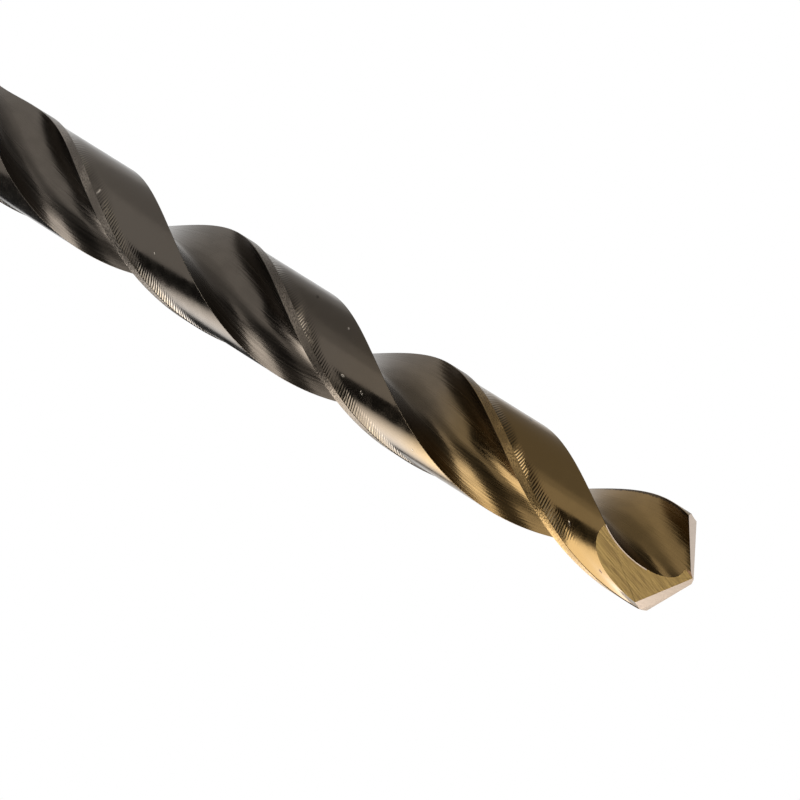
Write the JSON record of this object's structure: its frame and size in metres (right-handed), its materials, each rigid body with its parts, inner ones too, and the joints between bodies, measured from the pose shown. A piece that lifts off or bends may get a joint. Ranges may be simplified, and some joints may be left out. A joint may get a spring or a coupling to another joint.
{
  "type": "twist drill bit",
  "caption": "Straight-shank twist drill bit with right-hand spiral flutes, narrow margins and a split point, coated straw gold fading to dark bronze.",
  "frame": {"origin": "centre of the flat shank end, on which the drill stands", "axes": "+Z along the drill's axis from the shank end to the point, +X along one cutting lip"},
  "size_m": [0.01, 0.01, 0.13],
  "materials": {
    "coated_steel": "ground high-speed steel, straw-gold coating at the point darkening to grey-brown bronze along the flutes and shank"
  },
  "bodies": {
    "root": {"drill_bit": "coated_steel"}
  },
  "joints": []
}
